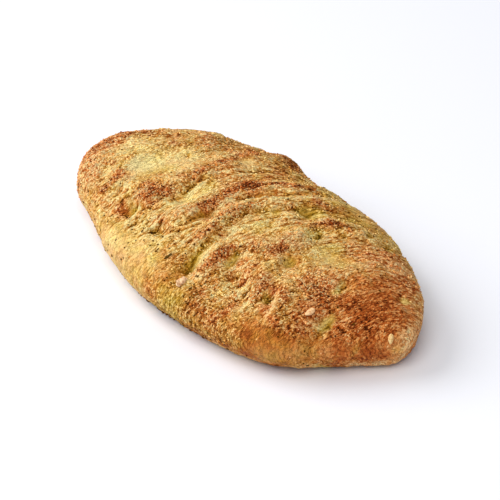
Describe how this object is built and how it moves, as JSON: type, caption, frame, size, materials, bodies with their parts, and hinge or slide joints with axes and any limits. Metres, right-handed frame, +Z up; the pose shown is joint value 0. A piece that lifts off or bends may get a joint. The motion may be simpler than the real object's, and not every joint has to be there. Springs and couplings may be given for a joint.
{
  "type": "focaccia loaf",
  "caption": "Long oval focaccia loaf, domed over a flat underside, with slanting folds, finger dimples and a coarse semolina crust.",
  "frame": {"origin": "centre of the loaf's footprint, on the surface it rests on", "axes": "+X along the loaf towards its darker end, +Y across it, +Z up"},
  "size_m": [0.2907, 0.1562, 0.0528],
  "materials": {
    "crust": "baked bread crust, golden brown, rough with semolina"
  },
  "bodies": {
    "root": {"focaccia": "crust"}
  },
  "joints": []
}
